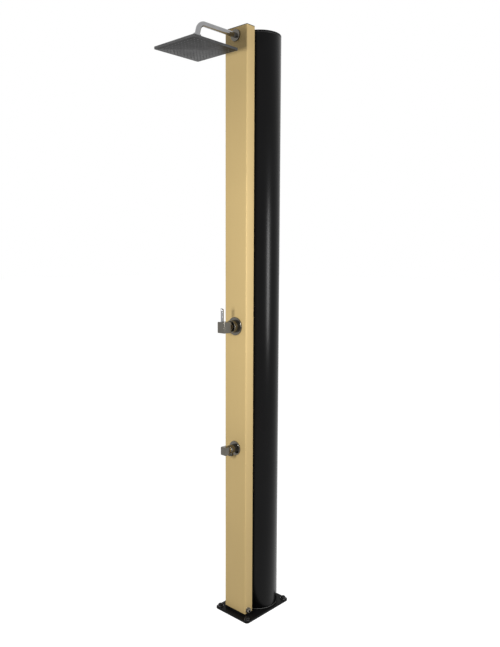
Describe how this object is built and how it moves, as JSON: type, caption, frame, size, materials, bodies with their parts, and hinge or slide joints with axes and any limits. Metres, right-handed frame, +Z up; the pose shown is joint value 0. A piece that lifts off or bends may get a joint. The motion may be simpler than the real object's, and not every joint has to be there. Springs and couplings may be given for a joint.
{
  "type": "outdoor shower post",
  "caption": "Free-standing outdoor shower: gold rectangular profile with mixer, foot tap and square swivel head, black round hot-water tank behind, on a bolted base plate.",
  "frame": {"origin": "on the floor at the centre of the base plate's underside", "axes": "+Z up along the post; -Y is the shower's front, where the mixer and the head are; +X is the side with the hose inlet"},
  "size_m": [0.2, 0.5127, 2.2],
  "materials": {
    "gold_profile": "satin gold anodised aluminium profile",
    "profile_cap": "dark grey moulded end cap",
    "tank_black": "satin black plastic tube",
    "plate_black": "powder-coated steel",
    "trim_black": "moulded black plastic",
    "chrome_fitting": "polished chrome plating on brass or zinc",
    "dark_chrome": "smoked dark chrome plating on brass or zinc",
    "head_grey": "satin dark grey plastic",
    "nozzle_rubber": "soft grey silicone",
    "brass_fitting": "machined brass",
    "steel_pipe": "drawn stainless steel pipe",
    "steel_screw": "stainless steel fastener",
    "gasket_rubber": "black rubber",
    "gasket_grey": "grey rubber",
    "seal_plastic": "white low-friction plastic",
    "cartridge_plastic": "cream moulded plastic",
    "ceramic": "ground white ceramic"
  },
  "bodies": {
    "post": {"base_plate": "plate_black", "anchor_washers": "steel_screw", "anchor_caps": "trim_black", "base_screws": "steel_screw", "foot_block": "trim_black", "profile_screws": "steel_screw", "front_profile": "gold_profile", "profile_cap": "profile_cap", "tank_base": "tank_black", "tank_base_gasket": "gasket_grey", "tank_tube": "tank_black", "tank_lid_gasket": "gasket_rubber", "tank_lid": "tank_black", "drain_washer": "gasket_rubber", "drain_plug": "chrome_fitting", "tank_saddles": "trim_black", "saddle_screws": "steel_screw", "hose_inlet": "chrome_fitting", "inlet_washer": "gasket_rubber", "check_valve": "brass_fitting", "cold_pipe_lower": "steel_pipe", "tank_feed_tee": "brass_fitting", "cold_pipe_middle": "steel_pipe", "foot_tap_tee": "brass_fitting", "cold_pipe_upper": "steel_pipe", "hot_pipe": "steel_pipe", "hot_elbow": "brass_fitting", "mixed_riser": "steel_pipe", "arm_elbow": "brass_fitting", "arm_ring_nut": "brass_fitting", "tank_feed_stub": "brass_fitting", "hot_stub": "brass_fitting", "mixer_body": "brass_fitting", "cartridge": "cartridge_plastic", "fixed_disc": "ceramic", "cartridge_nut": "brass_fitting", "mixer_flange": "dark_chrome", "mixer_collar": "dark_chrome", "foot_flange": "dark_chrome", "tap_body": "dark_chrome", "tap_headwork": "brass_fitting", "shower_arm": "chrome_fitting", "arm_flange": "dark_chrome", "ball_nut": "chrome_fitting"},
    "temperature_rotor": {"cartridge_rotor": "cartridge_plastic", "rotor_pin": "steel_screw", "moving_disc": "ceramic"},
    "mixer_lever_set": {"mixer_spindle": "brass_fitting", "mixer_handle": "dark_chrome", "mixer_lever": "chrome_fitting", "handle_grub_screw": "steel_screw"},
    "foot_knob": {"tap_spindle": "brass_fitting", "tap_knob": "dark_chrome", "knob_grub_screw": "steel_screw"},
    "ball_cup_body": {"ball_cup": "seal_plastic"},
    "ball_seal_body": {"ball_seal": "seal_plastic"},
    "shower_head": {"ball_stud": "chrome_fitting", "head_shell": "head_grey", "head_face": "head_grey", "nozzle_mat": "nozzle_rubber"}
  },
  "joints": [
    {"name": "mixer_turn", "type": "hinge", "parent": "post", "child": "temperature_rotor", "pos_m": [0, -0.112, 1.13], "axis": [0, 1, 0], "range_deg": [-45, 45]},
    {"name": "mixer_lift", "type": "hinge", "parent": "temperature_rotor", "child": "mixer_lever_set", "pos_m": [0, -0.112, 1.13], "axis": [1, 0, 0], "range_deg": [0, 18]},
    {"name": "foot_tap_turn", "type": "hinge", "parent": "post", "child": "foot_knob", "pos_m": [0, -0.15, 0.665], "axis": [0, 1, 0], "range_deg": [0, 90]},
    {"name": "head_tip", "type": "hinge", "parent": "post", "child": "ball_cup_body", "pos_m": [0, -0.29067, 2.10787], "axis": [1, 0, 0], "range_deg": [-35, 5]},
    {"name": "head_lean", "type": "hinge", "parent": "ball_cup_body", "child": "ball_seal_body", "pos_m": [0, -0.29067, 2.10787], "axis": [0, 1, 0], "range_deg": [-12, 12]},
    {"name": "head_turn", "type": "hinge", "parent": "ball_seal_body", "child": "shower_head", "pos_m": [0, -0.29067, 2.10787], "axis": [0, 0, 1], "continuous": true}
  ]
}
